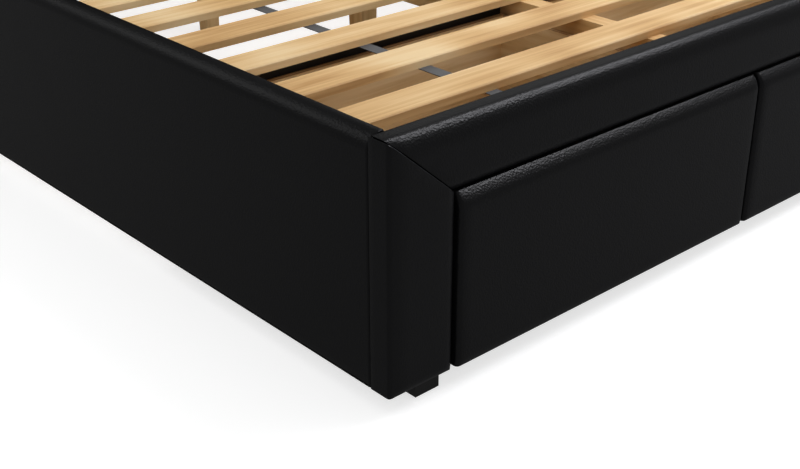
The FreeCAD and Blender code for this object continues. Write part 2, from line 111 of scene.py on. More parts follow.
# Particle board: matt, with chips in four browns and a fine sawn grit.
particle_board, tree, surface, place = blank("particle board", Roughness=0.75)
chips = add(tree, "ShaderNodeTexVoronoi", {"Vector": place, "Scale": 1 / 0.0035, "Randomness": 1.0})
mottle = add(tree, "ShaderNodeTexNoise", {"Vector": place, "Scale": 1 / 0.02, "Detail": 4.0})
grey = add(tree, "ShaderNodeSeparateColor", {"Color": chips.outputs["Color"]})
mix = add(tree, "ShaderNodeMath", {0: grey.outputs["Red"], 1: mottle.outputs["Fac"]}, operation="ADD")
half = add(tree, "ShaderNodeMath", {0: mix.outputs[0], 1: 0.5}, operation="MULTIPLY")
browns = add(tree, "ShaderNodeValToRGB", {"Fac": half.outputs[0]}, stops=(
    (0.15, "#8f7350"), (0.4, "#b3966c"), (0.6, "#c4a87e"), (0.9, "#d8c19b"),
))
tree.links.new(browns.outputs["Color"], surface.inputs["Base Color"])
grit = add(tree, "ShaderNodeBump", {"Height": chips.outputs["Distance"], "Strength": 0.25, "Distance": 0.0004})
tree.links.new(grit.outputs["Normal"], surface.inputs["Normal"])

finish_with(
    particle_board,
    "left_side_rail_board", "right_side_rail_board", "foot_top_rail_board", "left_foot_post_board",
    "right_foot_post_board", "left_drawer_front_board", "right_drawer_front_board", "headboard_panel",
)

# ------------------------------------------------------------ side rails
# Each side rail is a particle board under 8 mm of foam and black bonded leather, which is pulled over
# the edges and stapled to the back. It butts against the footboard and against the headboard.


def deselect():
    for other in list(bpy.context.selected_objects):
        other.select_set(False)


def block(name, low, high):
    """A box between two corners, with its place in its mesh."""
    deselect()
    low, high = Vector(low), Vector(high)
    bpy.ops.mesh.primitive_cube_add(size=1, location=(low + high) / 2, scale=high - low)
    bpy.ops.object.transform_apply(location=True, rotation=True, scale=True)
    piece = bpy.context.object
    piece.name = name
    return piece


def pick(piece, kind, test):
    """Selects the vertices, edges or faces whose every corner passes the test, and nothing else."""
    bpy.context.view_layer.objects.active = piece
    edit(bpy.ops.mesh.select_mode, type=kind)
    edit(bpy.ops.mesh.select_all, action="DESELECT")
    mesh = piece.data
    items = {"VERT": mesh.vertices, "EDGE": mesh.edges, "FACE": mesh.polygons}[kind]
    for item in items:
        corners = [item.index] if kind == "VERT" else item.vertices
        item.select = all(test(mesh.vertices[i].co) for i in corners)


def edit(operator, **settings):
    """Runs one edit-mode operator on what is picked."""
    bpy.ops.object.mode_set(mode="EDIT")
    operator(**settings)
    bpy.ops.object.mode_set(mode="OBJECT")


# Two places nearer than this are the same.
same = 1e-5


def near(value, place):
    return abs(value - place) < same


def fold(piece, radius, segments=3):
    """Rounds the picked edges tightly, as leather folds over a board."""
    edit(bpy.ops.mesh.bevel, offset=radius, segments=segments, affect="EDGES")


def roll(piece, test, width, depth, axis, profile=0.5):
    """Rolls the edges that pass the test, in a curve of a width along the face and a depth on the axis."""
    pick(piece, "EDGE", test)
    stretch = [1.0, 1.0, 1.0, 1.0]
    stretch[axis] = width / depth
    piece.data.transform(Matrix.Diagonal(stretch))
    edit(bpy.ops.mesh.bevel, offset=width, segments=12, profile=profile, affect="EDGES")
    stretch[axis] = depth / width
    piece.data.transform(Matrix.Diagonal(stretch))


def cut(piece, point, normal, drop=False):
    """Cuts a mesh at a plane. With drop, what lies on the normal's side goes and the cut is closed."""
    pick(piece, "FACE", lambda co: True)
    edit(bpy.ops.mesh.bisect, plane_co=point, plane_no=normal, clear_outer=drop, use_fill=drop)


def take_out(piece, low, high):
    """Takes a box out of a piece."""
    hole = block("hole", low, high)
    made = piece.modifiers.new("hole", "BOOLEAN")
    made.operation = "DIFFERENCE"
    made.object = hole
    bpy.context.view_layer.objects.active = piece
    bpy.ops.object.modifier_apply(modifier="hole")
    bpy.data.objects.remove(hole)


def slice_up(piece, axis, spacing, margins=(0, 0)):
    """Cuts the mesh across an axis: closely in the margins at its two ends, and evenly between them."""
    places = [v.co[axis] for v in piece.data.vertices]
    low, high = min(places), max(places)
    steps = (0.08, 0.18, 0.3, 0.45, 0.65, 0.97)
    # The even cuts are moved this much, off the edges that the mesh already has.
    aside = 0.00013
    planes = [low + margins[0] * t for t in steps if margins[0]]
    planes += [high - margins[1] * t for t in steps if margins[1]]
    start, end = low + margins[0], high - margins[1]
    count = max(round((end - start) / spacing), 1)
    planes += [start + (end - start) * i / count + aside for i in range(0 if margins[0] else 1, count)]
    normal = [0, 0, 0]
    normal[axis] = 1
    for plane in planes:
        cut(piece, [plane * n for n in normal], normal)


def pad_out(piece, axis, face, puff, margins, swell=0.0004):
    """Lets the foam lift a padded face off its edges, and gives the face a slight unevenness.

    Margins are given for each of the other two axes as (low, high). The face rises steeply at the edge and
    levels out at the margin. A margin of 0 leaves the face flat up to that edge.
    """
    depth, steepness = 0.010, 2.4
    mesh = piece.data
    others = [i for i in range(3) if i != axis]
    low = [min(v.co[i] for v in mesh.vertices) for i in range(3)]
    high = [max(v.co[i] for v in mesh.vertices) for i in range(3)]
    way = 1 if face > (low[axis] + high[axis]) / 2 else -1
    group = piece.vertex_groups.new(name="padded face")
    for v in mesh.vertices:
        below = way * (face - v.co[axis])
        if below > depth:
            continue
        share = 1 - below / depth
        for i, (near_low, near_high) in zip(others, margins):
            for inward, margin in ((v.co[i] - low[i], near_low), (high[i] - v.co[i], near_high)):
                if margin:
                    share *= 1 - (1 - min(max(inward / margin, 0), 1)) ** steepness
        v.co[axis] += way * puff * share
        group.add([v.index], share, "REPLACE")
    made = piece.modifiers.new("unevenness", "DISPLACE")
    made.texture = unevenness
    made.strength = 2 * swell
    made.vertex_group = "padded face"
    bpy.context.view_layer.objects.active = piece
    bpy.ops.object.modifier_apply(modifier="unevenness")


def upholstery(piece, node, body="bed_frame"):
    """Finishes a piece in leather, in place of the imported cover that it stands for."""
    deselect()
    piece.select_set(True)
    bpy.context.view_layer.objects.active = piece
    bpy.ops.object.shade_smooth_by_angle(angle=math.radians(40))
    piece.data.materials.append(bonded_leather)
    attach(piece, body)
    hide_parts(node)


unevenness = bpy.data.textures.new("foam unevenness", type="CLOUDS")
unevenness.noise_scale = 0.11
unevenness.noise_depth = 1

# Bonded leather: black, with an embossed grain under a satin polyurethane coat, which is its only gloss.
# The grain is about 1 mm across, drawn at 2.6 mm to show.
leather_black = shade("#0d0d0e")
bonded_leather, tree, surface, place = blank(
    "bonded leather", Base_Color=leather_black, Roughness=0.7, Specular_IOR_Level=0.0,
    Coat_Weight=0.085, Coat_Roughness=0.31, Coat_IOR=1.5,
)
grain = add(tree, "ShaderNodeTexVoronoi", {"Vector": place, "Scale": 1 / 0.0026}, feature="SMOOTH_F1")
creases = add(tree, "ShaderNodeTexNoise", {
    "Vector": place, "Scale": 1 / 0.012, "Detail": 5.0, "Roughness": 0.6,
})
embossed = add(tree, "ShaderNodeBump", {
    "Height": grain.outputs["Distance"], "Strength": 0.8, "Distance": 0.0005,
})
leather_skin = add(tree, "ShaderNodeBump", {
    "Height": creases.outputs["Fac"], "Strength": 0.16, "Distance": 0.0006,
    "Normal": embossed.outputs["Normal"],
})
tree.links.new(leather_skin.outputs["Normal"], surface.inputs["Normal"])
tree.links.new(leather_skin.outputs["Normal"], surface.inputs["Coat Normal"])

# The leather turns over the ends of the rails' boards, so their last 6 mm show no chips.
turned_over = 0.006
low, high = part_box("left_side_rail_board")
middle = (low.y + high.y) / 2
covered_ends = particle_board.copy()
covered_ends.name = "particle board with covered ends"
tree = covered_ends.node_tree
surface = tree.nodes["Principled BSDF"]
chips_shown = surface.inputs["Base Color"].links[0].from_socket
place = add(tree, "ShaderNodeTexCoord").outputs["Object"]
split = add(tree, "ShaderNodeSeparateXYZ", {"Vector": place})
along = add(tree, "ShaderNodeMath", {0: split.outputs["Y"], 1: middle}, operation="SUBTRACT")
distance = add(tree, "ShaderNodeMath", {0: along.outputs[0]}, operation="ABSOLUTE")
at_end = add(tree, "ShaderNodeMath", {
    0: distance.outputs[0], 1: high.y - middle - turned_over,
}, operation="GREATER_THAN")
skin = add(tree, "ShaderNodeMix", {0: at_end.outputs[0], 6: chips_shown, 7: leather_black}, data_type="RGBA")
tree.links.new(skin.outputs[2], surface.inputs["Base Color"])
finish_with(covered_ends, "left_side_rail_board", "right_side_rail_board")

# The radius of a tight fold, the groove at a rail's end, how deep the bare back lies below the turned-in
# leather, and how far a cutting box reaches past the piece.
tight = 0.0025
groove = 0.0008
recess = 0.0025
past = 0.01
# How far the leather is turned in behind: at lower and side edges, at a rail's top and at the top rail's top.
return_edge = 0.020
return_rail = 0.085
return_top = 0.045
# Edges this near the bare back aren't folded.
rim = 0.0005
slack = 0.0001

for hand, way in (("left", -1), ("right", 1)):
    low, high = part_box(hand + "_side_rail_cover")
    outer, inner = (low.x, high.x) if way < 0 else (high.x, low.x)
    # The padded ends stop a little short of the footboard and the headboard, which leaves a groove.
    low.y += groove
    high.y -= groove
    cover = block(hand + "_side_rail_leather", low, high)
    # The back is open between the stapled edges, down to the board.
    sides = sorted((inner + way * recess, inner - way * past))
    back_low, back_high = low.z + return_edge, high.z - return_rail
    take_out(cover, (sides[0], low.y - past, back_low), (sides[1], high.y + past, back_high))
    # The top edge rolls over the foam in a wide curve. The others fold tightly over the board.
    roll(cover, lambda co: near(co.x, outer) and near(co.z, high.z), 0.024, 0.022, 0)
    pick(cover, "EDGE", lambda co: near(co.x, outer) and near(co.z, low.z))
    fold(cover, 0.0012)
    pick(cover, "EDGE", lambda co: near(co.x, inner) and near(co.z, high.z))
    fold(cover, 0.004)
    # The ends, where the leather turns over the board's edge.
    pick(cover, "EDGE", lambda co: (near(co.y, low.y) or near(co.y, high.y))
         and not (abs(co.x - inner) < recess + rim and back_low - slack < co.z < back_high + slack))
    fold(cover, 0.0020, 2)
    end_margins, edge_margins = (0.004, 0.004), (0.016, 0)
    slice_up(cover, 1, 0.035, end_margins)
    slice_up(cover, 2, 0.030, edge_margins)
    pad_out(cover, 0, outer, 0.0018, (end_margins, edge_margins))
    upholstery(cover, hand + "_side_rail_cover")

# ------------------------------------------------------------ footboard frame
# The footboard's top rail and posts are 25 mm boards, padded on the face and wrapped in leather that is
# stapled behind. They meet in mitres, where each cover turns in over its own board's end with a small lip.

frame_low, frame_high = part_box("foot_top_rail_cover")
# Half the gap between two covers at a mitre, and the radii of their lips there.
mitre_gap = 0.0004
rail_lip = 0.0012
post_lip = 0.0025


def mitre(piece, corner, inner, keep, lip, spared=lambda co: False):
    """Cuts a piece along the line from an outer to an inner corner of the frame, seen from the front.

    The cut's edges fold over in a lip, except where they are spared.
    """
    along = Vector((inner[0] - corner[0], 0, inner[1] - corner[1])).normalized()
    normal = Vector((-along.z, 0, along.x))
    towards = Vector((keep[0] - corner[0], 0, keep[1] - corner[1]))
    if normal.dot(towards) > 0:
        normal = -normal
    point = Vector((corner[0], 0, corner[1])) - normal * mitre_gap
    cut(piece, point, normal, drop=True)
    pick(piece, "EDGE", lambda co: abs((co - point).dot(normal)) < same and not spared(co))
    fold(piece, lip)


top = frame_high.z
inner_z = frame_low.z
rear = frame_high.y
cover = block("foot_top_rail_leather", frame_low, frame_high)
back_low, back_high = inner_z + return_edge, top - return_top
take_out(cover, (frame_low.x - past, rear - recess, back_low), (frame_high.x + past, rear + past, back_high))
roll(cover, lambda co: near(co.y, frame_low.y) and near(co.z, top), 0.036, 0.0165, 1, 0.48)
pick(cover, "EDGE", lambda co: near(co.y, rear) and near(co.z, top))
fold(cover, 0.006, 5)
roll(cover, lambda co: near(co.y, frame_low.y) and near(co.z, inner_z), 0.018, 0.008, 1)
for hand, way in (("left", -1), ("right", 1)):
    low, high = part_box(hand + "_foot_post_cover")
    outer, inner = (low.x, high.x) if way < 0 else (high.x, low.x)
    mitre(
        cover, (outer, top), (inner, inner_z), (0, top), rail_lip,
        lambda co: co.y > rear - recess - rim and back_low - slack < co.z < back_high + slack,
    )
edge_margins = (0.018, 0.018)
slice_up(cover, 0, 0.030)
slice_up(cover, 2, 0.020, edge_margins)
pad_out(cover, 1, frame_low.y, 0.002, ((0, 0), edge_margins))
upholstery(cover, "foot_top_rail_cover")

for hand, way in (("left", -1), ("right", 1)):
    low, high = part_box(hand + "_foot_post_cover")
    outer, inner = (low.x, high.x) if way < 0 else (high.x, low.x)
    cover = block(hand + "_foot_post_leather", low, high)
    back_low, back_high = low.x + return_edge, high.x - return_edge
    take_out(cover, (back_low, rear - recess, low.z + 0.003), (back_high, rear + past, high.z + past))
    pick(cover, "EDGE", lambda co: near(co.y, rear) and near(co.x, outer))
    fold(cover, 0.0015)
    pick(cover, "EDGE", lambda co: near(co.y, low.y) and near(co.x, outer))
    fold(cover, 0.004, 5)
    pick(cover, "EDGE", lambda co: near(co.y, low.y) and near(co.x, inner))
    fold(cover, tight)
    mitre(
        cover, (outer, top), (inner, inner_z), (inner, low.z), post_lip,
        lambda co: co.y > rear - recess - rim and back_low - slack < co.x < back_high + slack,
    )
    outer_margin, inner_margin = 0.030, 0.016
    sides = (outer_margin, inner_margin) if way < 0 else (inner_margin, outer_margin)
    low_margin = (0.014, 0)
    slice_up(cover, 0, 0.020, sides)
    slice_up(cover, 2, 0.030, low_margin)
    slice_up(cover, 1, 0.010, low_margin)
    pad_out(cover, 1, low.y, 0.005, (sides, low_margin))
    pad_out(cover, 0, outer, 0.0015, (low_margin, (0, 0)))
    upholstery(cover, hand + "_foot_post_cover")


def set_out(pattern, name, places, facing, along, material, body):
    """Copies a small fixing to each place, turned to face one way, as one group that rides on a body."""
    facing, along = Vector(facing), Vector(along)
    turn = Matrix((along, facing.cross(along), facing)).transposed().to_4x4()
    copies = []
    for place in places:
        copy = pattern.copy()
        copy.data = pattern.data.copy()
        copy.data.transform(Matrix.Translation(place) @ turn)
        bpy.context.scene.collection.objects.link(copy)
        copies.append(copy)
    deselect()
    for copy in copies:
        copy.select_set(True)
    bpy.context.view_layer.objects.active = copies[0]
    bpy.ops.object.join()
    group = copies[0]
    group.name = name
    bpy.ops.object.shade_smooth_by_angle(angle=math.radians(40))
    group.data.materials.append(material)
    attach(group, body)


def spread(start, end, pitch):
    """Evenly spaced points between two ends, about a pitch apart."""
    start, end = Vector(start), Vector(end)
    count = max(round((end - start).length / pitch), 1)
    return [start.lerp(end, i / count) for i in range(count + 1)]


# The staples' crowns: galvanised wire, 10 mm wide, driven flush along the turned-in leather's edges.
galvanised, tree, surface, place = blank("galvanised wire", Metallic=1.0)
spangle = add(tree, "ShaderNodeTexNoise", {"Vector": place, "Scale": 1 / 0.002, "Detail": 2.0})
greys = add(tree, "ShaderNodeValToRGB", {"Fac": spangle.outputs["Fac"]}, stops=(
    (0.3, "#a2a5a8"), (0.7, "#c6c8ca"),
))
tree.links.new(greys.outputs["Color"], surface.inputs["Base Color"])
rough = add(tree, "ShaderNodeMapRange", {"Value": spangle.outputs["Fac"], "To Min": 0.35, "To Max": 0.5})
tree.links.new(rough.outputs["Result"], surface.inputs["Roughness"])

staple = block("staple", (-0.0050, -0.0006, -0.0006), (0.0050, 0.0006, 0.0005))
pick(staple, "EDGE", lambda co: co.z > 0)
fold(staple, 0.0004, 2)

# Rows run this far in from the leather's cut edge.
staple_line = 0.006
staple_pitch = 0.038
row_end = 0.66
set_out(
    staple, "foot_top_rail_staples",
    [
        point for z in (top - return_top + staple_line, inner_z + return_edge - staple_line)
        for point in spread((-row_end, rear, z), (row_end, rear, z), staple_pitch)
    ],
    (0, 1, 0), (1, 0, 0), galvanised, "bed_frame",
)
for hand, way in (("left", -1), ("right", 1)):
    low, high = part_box(hand + "_foot_post_cover")
    lines = (low.x + return_edge - staple_line, high.x - return_edge + staple_line)
    set_out(
        staple, hand + "_foot_post_staples",
        [point for x in lines for point in spread((x, rear, 0.05), (x, rear, 0.29), staple_pitch)],
        (0, 1, 0), (0, 0, 1), galvanised, "bed_frame",
    )
    low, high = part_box(hand + "_side_rail_cover")
    inner = high.x if way < 0 else low.x
    lines = (low.z + return_edge - staple_line, high.z - return_rail + staple_line)
    start, end = low.y + 0.09, high.y - 0.09
    set_out(
        staple, hand + "_side_rail_staples",
        [point for z in lines for point in spread((inner, start, z), (inner, end, z), staple_pitch)],
        (-way, 0, 0), (0, 1, 0), galvanised, "bed_frame",
    )

# ------------------------------------------------------------ corner brackets and bolts
# Angles of 3 mm sheet steel, punched, folded and powder coated, join the rails to the footboard and the
# headboard with zinc-plated hexagon bolts.

# Powder coat: black, satin, with a fine orange peel of about 1 mm.
powder_coat, tree, surface, place = blank(
    "powder-coated steel", Base_Color=shade("#1c1c1d"), Roughness=0.5,
)
peel = add(tree, "ShaderNodeTexNoise", {"Vector": place, "Scale": 1 / 0.0012, "Detail": 2.0})
bump = add(tree, "ShaderNodeBump", {"Height": peel.outputs["Fac"], "Strength": 0.3, "Distance": 0.0002})
tree.links.new(bump.outputs["Normal"], surface.inputs["Normal"])

# Zinc plate: bright bluish steel with faint clouding, a little rougher in patches.
zinc_plate, tree, surface, place = blank("zinc-plated steel", Metallic=1.0)
cloud = add(tree, "ShaderNodeTexNoise", {"Vector": place, "Scale": 1 / 0.015, "Detail": 5.0})
greys = add(tree, "ShaderNodeValToRGB", {"Fac": cloud.outputs["Fac"]}, stops=(
    (0.3, "#b4b9bf"), (0.7, "#cfd3d6"),
))
tree.links.new(greys.outputs["Color"], surface.inputs["Base Color"])
rough = add(tree, "ShaderNodeMapRange", {"Value": cloud.outputs["Fac"], "To Min": 0.24, "To Max": 0.42})
tree.links.new(rough.outputs["Result"], surface.inputs["Roughness"])

finish_with(powder_coat, "corner_brackets", "beam_hanger")
finish_with(zinc_plate, "bracket_bolts")

# ------------------------------------------------------------ carcass and feet
# The carcass that holds the slides is 18 mm particle board with black melamine foil, screwed together.
# It and the footboard's corners stand on moulded block feet.

# Melamine foil: black, satin, with a fine pressed texture of about 1 mm.
melamine, tree, surface, place = blank(
    "melamine-faced board", Base_Color=shade("#191919"), Roughness=0.45,
)
pressed = add(tree, "ShaderNodeTexNoise", {"Vector": place, "Scale": 1 / 0.0015, "Detail": 3.0})
bump = add(tree, "ShaderNodeBump", {"Height": pressed.outputs["Fac"], "Strength": 0.25, "Distance": 0.0002})
tree.links.new(bump.outputs["Normal"], surface.inputs["Normal"])
finish_with(
    melamine, "left_carcass_side", "right_carcass_side", "carcass_partition", "carcass_back",
    "front_stretcher", "rear_stretcher",
)

# Polypropylene: black, matt from a spark-eroded mould.
polypropylene, tree, surface, place = blank(
    "polypropylene", Base_Color=shade("#080808"), Roughness=0.55, Specular_IOR_Level=0.06,
)
eroded = add(tree, "ShaderNodeTexNoise", {"Vector": place, "Scale": 1 / 0.001, "Detail": 2.0})
bump = add(tree, "ShaderNodeBump", {"Height": eroded.outputs["Fac"], "Strength": 0.3, "Distance": 0.0002})
tree.links.new(bump.outputs["Normal"], surface.inputs["Normal"])
finish_with(polypropylene, "block_feet")

# A countersunk cross-head screw's head, 8 mm across, as it shows in the face of a board.
deselect()
bpy.ops.mesh.primitive_cylinder_add(vertices=16, radius=0.004, depth=0.0012, location=(0, 0, -0.0002))
bpy.ops.object.transform_apply(location=True)
wood_screw = bpy.context.object
pick(wood_screw, "EDGE", lambda co: co.z > 0)
fold(wood_screw, 0.0003, 1)
for half_size in ((0.0024, 0.0005), (0.0005, 0.0024)):
    take_out(wood_screw, (-half_size[0], -half_size[1], -0.0005), (*half_size, 0.001))

low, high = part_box("carcass_back")
set_out(
    wood_screw, "carcass_screws",
    [(x, high.y, low.z + z) for x in (low.x + 0.009, 0, high.x - 0.009) for z in (0.03, 0.12, 0.21)],
    (0, 1, 0), (1, 0, 0), zinc_plate, "bed_frame",
)

# ------------------------------------------------------------ telescopic slides
# Each drawer box hangs between two full-extension slides of rolled, zinc-plated strip. Two rows of steel
# balls run in each pressed cage, between the flanges of the members.
for hand in ("left", "right"):
    finish_with(zinc_plate, hand + "_slide_outers", hand + "_slide_middles", hand + "_slide_inners")
    finish_with(zinc_plate, hand + "_slide_outer_cages", hand + "_slide_inner_cages")

# Bearing steel: hardened, ground and polished balls of 2.6 mm, bright, with faint handling haze.
bearing_steel, tree, surface, place = blank("bearing steel", Metallic=1.0, Base_Color=shade("#d4d6d8"))
haze = add(tree, "ShaderNodeTexNoise", {"Vector": place, "Scale": 1 / 0.001, "Detail": 1.0})
rough = add(tree, "ShaderNodeMapRange", {"Value": haze.outputs["Fac"], "To Min": 0.08, "To Max": 0.2})
tree.links.new(rough.outputs["Result"], surface.inputs["Roughness"])

deselect()
bpy.ops.mesh.primitive_uv_sphere_add(segments=10, ring_count=6, radius=0.0013)
ball = bpy.context.object
windows = 3
for hand in ("left", "right"):
    for row in ("outer", "inner"):
        low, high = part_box(f"{hand}_slide_{row}_cages")
        pitch = (high.y - low.y) / windows
        set_out(
            ball, f"{hand}_slide_{row}_balls",
            [
                (x, low.y + pitch * (i + 0.5), z)
                for x in (low.x + 0.0043, high.x - 0.0043)
                for z in (low.z + 0.0003, high.z - 0.0003)
                for i in range(windows)
            ],
            (0, 0, 1), (1, 0, 0), bearing_steel, f"{hand}_slide_{row}_cages",
        )
bpy.data.objects.remove(ball)

# ------------------------------------------------------------ drawer boxes
# The boxes are 12 mm birch plywood, glued at the corners, with a 6 mm bottom in grooves.
# The faces are rotary-cut birch. The edges show the plies, 1.7 mm each.


def plywood_along(axis, low, ply):
    """Birch plywood, its plies stacked along one axis from a given face and its grain along the panel."""
    material, tree, surface, place = blank("birch plywood " + "xyz"[axis], Roughness=0.45)
    # The figure is close across the grain: upwards on the box's walls, and from side to side on its bottom.
    stretch = [4.0, 4.0, 4.0]
    stretch[0 if axis == 2 else 2] = 60.0
    flow = add(tree, "ShaderNodeMapping", {"Vector": place, "Scale": stretch})
    figure = add(tree, "ShaderNodeTexNoise", {
        "Vector": flow.outputs[0], "Scale": 1.2, "Detail": 6.0, "Distortion": 0.6,
    })
    face = add(tree, "ShaderNodeValToRGB", {"Fac": figure.outputs["Fac"]}, stops=(
        (0.3, "#c9a878"), (0.5, "#d9bd90"), (0.7, "#e3cba3"),
    )).outputs["Color"]
    split = add(tree, "ShaderNodeSeparateXYZ", {"Vector": place})
    depth = add(tree, "ShaderNodeMath", {0: split.outputs[axis], 1: low}, operation="SUBTRACT")
    count = add(tree, "ShaderNodeMath", {0: depth.outputs[0], 1: 2 * ply}, operation="PINGPONG")
    step = add(tree, "ShaderNodeMath", {0: count.outputs[0], 1: ply}, operation="GREATER_THAN")
    dark = add(tree, "ShaderNodeMix", {0: step.outputs[0], 6: face, 7: shade("#a98353")}, data_type="RGBA")
    tree.links.new(dark.outputs[2], surface.inputs["Base Color"])
    fibre = add(tree, "ShaderNodeBump", {
        "Height": figure.outputs["Fac"], "Strength": 0.2, "Distance": 0.0003,
    })
    tree.links.new(fibre.outputs["Normal"], surface.inputs["Normal"])
    return material


ply = 0.0017
for hand in ("left", "right"):
    for part in ("drawer_inner_side", "drawer_outer_side"):
        low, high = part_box(f"{hand}_{part}")
        finish_with(plywood_along(0, low.x, ply), f"{hand}_{part}")
    for part in ("drawer_box_front", "drawer_box_back"):
        low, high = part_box(f"{hand}_{part}")
        finish_with(plywood_along(1, low.y, ply), f"{hand}_{part}")
    low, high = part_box(hand + "_drawer_bottom")
    finish_with(plywood_along(2, low.z, ply), hand + "_drawer_bottom")
    # Four screws go through the box front into the padded front.
    low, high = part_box(hand + "_drawer_box_front")
    set_out(
        wood_screw, hand + "_drawer_front_screws",
        [(x, high.y, z) for x in (low.x + 0.12, high.x - 0.12) for z in (low.z + 0.06, high.z - 0.05)],
        (0, 1, 0), (1, 0, 0), zinc_plate, hand + "_drawer",
    )

# ------------------------------------------------------------ drawer fronts
# Each front is a particle board with foam on its face, wrapped in the same leather over all four edges
# and stapled behind. It is screwed to the box from inside and has no handle.

# The foam swells the cover past the board's line: to the front, upwards and towards the post.
front_swell, top_swell, side_swell = 0.0055, 0.0018, 0.0025
# The roll of foam at the top is an arc that would rise this far above the flat top edge.
crest = 0.0070
# How far the leather is turned in behind, how deep that leaves the bare board, and how far back from the
# front an edge still belongs to the padded face.
front_return, return_depth, face_depth = 0.025, 0.0025, 0.015
for hand in ("left", "right"):
    low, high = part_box(hand + "_drawer_front_cover")
    low.y -= front_swell
    high.z += top_swell
    if hand == "left":
        low.x -= side_swell
    else:
        high.x += side_swell
    cover = block(hand + "_drawer_front_leather", low, high + Vector((0, 0, crest)))
    roll(cover, lambda co: near(co.y, low.y) and near(co.z, high.z + crest), 0.031, 0.0264, 1, 0.476)
    cut(cover, high, (0, 0, 1), drop=True)
    pick(cover, "EDGE", lambda co: near(co.z, high.z) and co.y < low.y + face_depth)
    fold(cover, 0.0012)
    # The back is bare board inside the turned-in leather.
    pick(cover, "FACE", lambda co: near(co.y, high.y))
    edit(bpy.ops.mesh.inset, thickness=front_return)
    pick(cover, "FACE", lambda co: near(co.y, high.y) and low.x + 0.02 < co.x < high.x - 0.02
         and low.z + 0.02 < co.z < high.z - 0.02)
    edit(bpy.ops.mesh.extrude_region_move, TRANSFORM_OT_translate={"value": (0, -return_depth, 0)})
    for end in (low.x, high.x):
        roll(cover, lambda co: co.y < low.y + face_depth and near(co.x, end), 0.007, 0.006, 1)
    pick(cover, "EDGE", lambda co: near(co.y, low.y) and near(co.z, low.z))
    fold(cover, 0.0012)
    end_margins, edge_margins = (0.022, 0.022), (0.016, 0.040)
    slice_up(cover, 0, 0.030, end_margins)
    slice_up(cover, 2, 0.030, edge_margins)
    pad_out(cover, 1, low.y, 0.0035, (end_margins, edge_margins))
    upholstery(cover, hand + "_drawer_front_cover", hand + "_drawer")
    inset = front_return - staple_line
    for side, z in (("bottom", low.z + inset), ("top", high.z - inset)):
        set_out(
            staple, f"{hand}_drawer_front_{side}_staples",
            spread((low.x + 0.04, high.y, z), (high.x - 0.04, high.y, z), staple_pitch),
            (0, 1, 0), (1, 0, 0), galvanised, hand + "_drawer",
        )

# ------------------------------------------------------------ deck
# Planed pine slats lie on ledgers screwed to the side rails and on a beam down the middle, which stands
# on two legs and hangs in a folded seat at the headboard. Two straps keep the slats apart.


def pine_along(axis):
    """Planed pine whose grain runs along one axis."""
    material, tree, surface, place = blank("pine " + "xyz"[axis], Roughness=0.75, Specular_IOR_Level=0.15)
    # The figure is 12 mm wide and 350 mm long.
    stretch = [1 / 0.012, 1 / 0.012, 1 / 0.012]
    stretch[axis] = 1 / 0.35
    flow = add(tree, "ShaderNodeMapping", {"Vector": place, "Scale": stretch})
    figure = add(tree, "ShaderNodeTexNoise", {
        "Vector": flow.outputs[0], "Scale": 1.0, "Detail": 5.0, "Distortion": 0.8,
    })
    tone = add(tree, "ShaderNodeTexNoise", {"Vector": place, "Scale": 1 / 0.13, "Detail": 0.0})
    both = add(tree, "ShaderNodeMath", {0: figure.outputs["Fac"], 1: tone.outputs["Fac"]}, operation="ADD")
    half = add(tree, "ShaderNodeMath", {0: both.outputs[0], 1: 0.5}, operation="MULTIPLY")
    wood = add(tree, "ShaderNodeValToRGB", {"Fac": half.outputs[0]}, stops=(
        (0.3, "#b98d56"), (0.45, "#d2aa73"), (0.55, "#ddb985"), (0.7, "#e8cb9c"),
    )).outputs["Color"]
    # Knots, 6 to 14 mm across, on the broad faces.
    flat = [1 / 0.16, 1 / 0.16, 1 / 0.16]
    flat[(axis + 2) % 3] = 0.0
    spots = add(tree, "ShaderNodeMapping", {"Vector": place, "Scale": flat})
    knots = add(tree, "ShaderNodeTexVoronoi", {"Vector": spots.outputs[0], "Scale": 1.0})
    uneven = add(tree, "ShaderNodeMath", {0: figure.outputs["Fac"], 1: 0.03}, operation="MULTIPLY")
    reach = add(tree, "ShaderNodeMath", {0: knots.outputs["Distance"], 1: uneven.outputs[0]}, operation="ADD")
    core = add(tree, "ShaderNodeMapRange", {
        "Value": reach.outputs[0], "From Min": 0.035, "From Max": 0.06, "To Min": 1.0, "To Max": 0.0,
    })
    draw = add(tree, "ShaderNodeSeparateColor", {"Color": knots.outputs["Color"]})
    some = add(tree, "ShaderNodeMath", {0: draw.outputs["Red"], 1: 0.55}, operation="GREATER_THAN")
    knot = add(tree, "ShaderNodeMath", {0: core.outputs["Result"], 1: some.outputs[0]}, operation="MULTIPLY")
    knotty = add(tree, "ShaderNodeMix", {0: knot.outputs[0], 6: wood, 7: shade("#7d4f2a")}, data_type="RGBA")
    tree.links.new(knotty.outputs[2], surface.inputs["Base Color"])
    fibre = add(tree, "ShaderNodeBump", {
        "Height": figure.outputs["Fac"], "Strength": 0.25, "Distance": 0.0004,
    })
    tree.links.new(fibre.outputs["Normal"], surface.inputs["Normal"])
    return material


finish_with(pine_along(0), "slats")
finish_with(pine_along(1), "left_slat_ledger", "right_slat_ledger", "centre_beam")
finish_with(pine_along(2), "beam_legs", "left_headboard_leg", "right_headboard_leg")

# Woven polyester: black, matt, with ribs across the strap every 2 mm.
polyester, tree, surface, place = blank("woven polyester", Base_Color=shade("#202020"), Roughness=0.8)
ribs = add(tree, "ShaderNodeTexWave", {"Vector": place, "Scale": 1 / 0.002 / 6.283}, bands_direction="Y")
bump = add(tree, "ShaderNodeBump", {"Height": ribs.outputs["Fac"], "Strength": 0.4, "Distance": 0.0003})
tree.links.new(bump.outputs["Normal"], surface.inputs["Normal"])
finish_with(polyester, "slat_webbing")

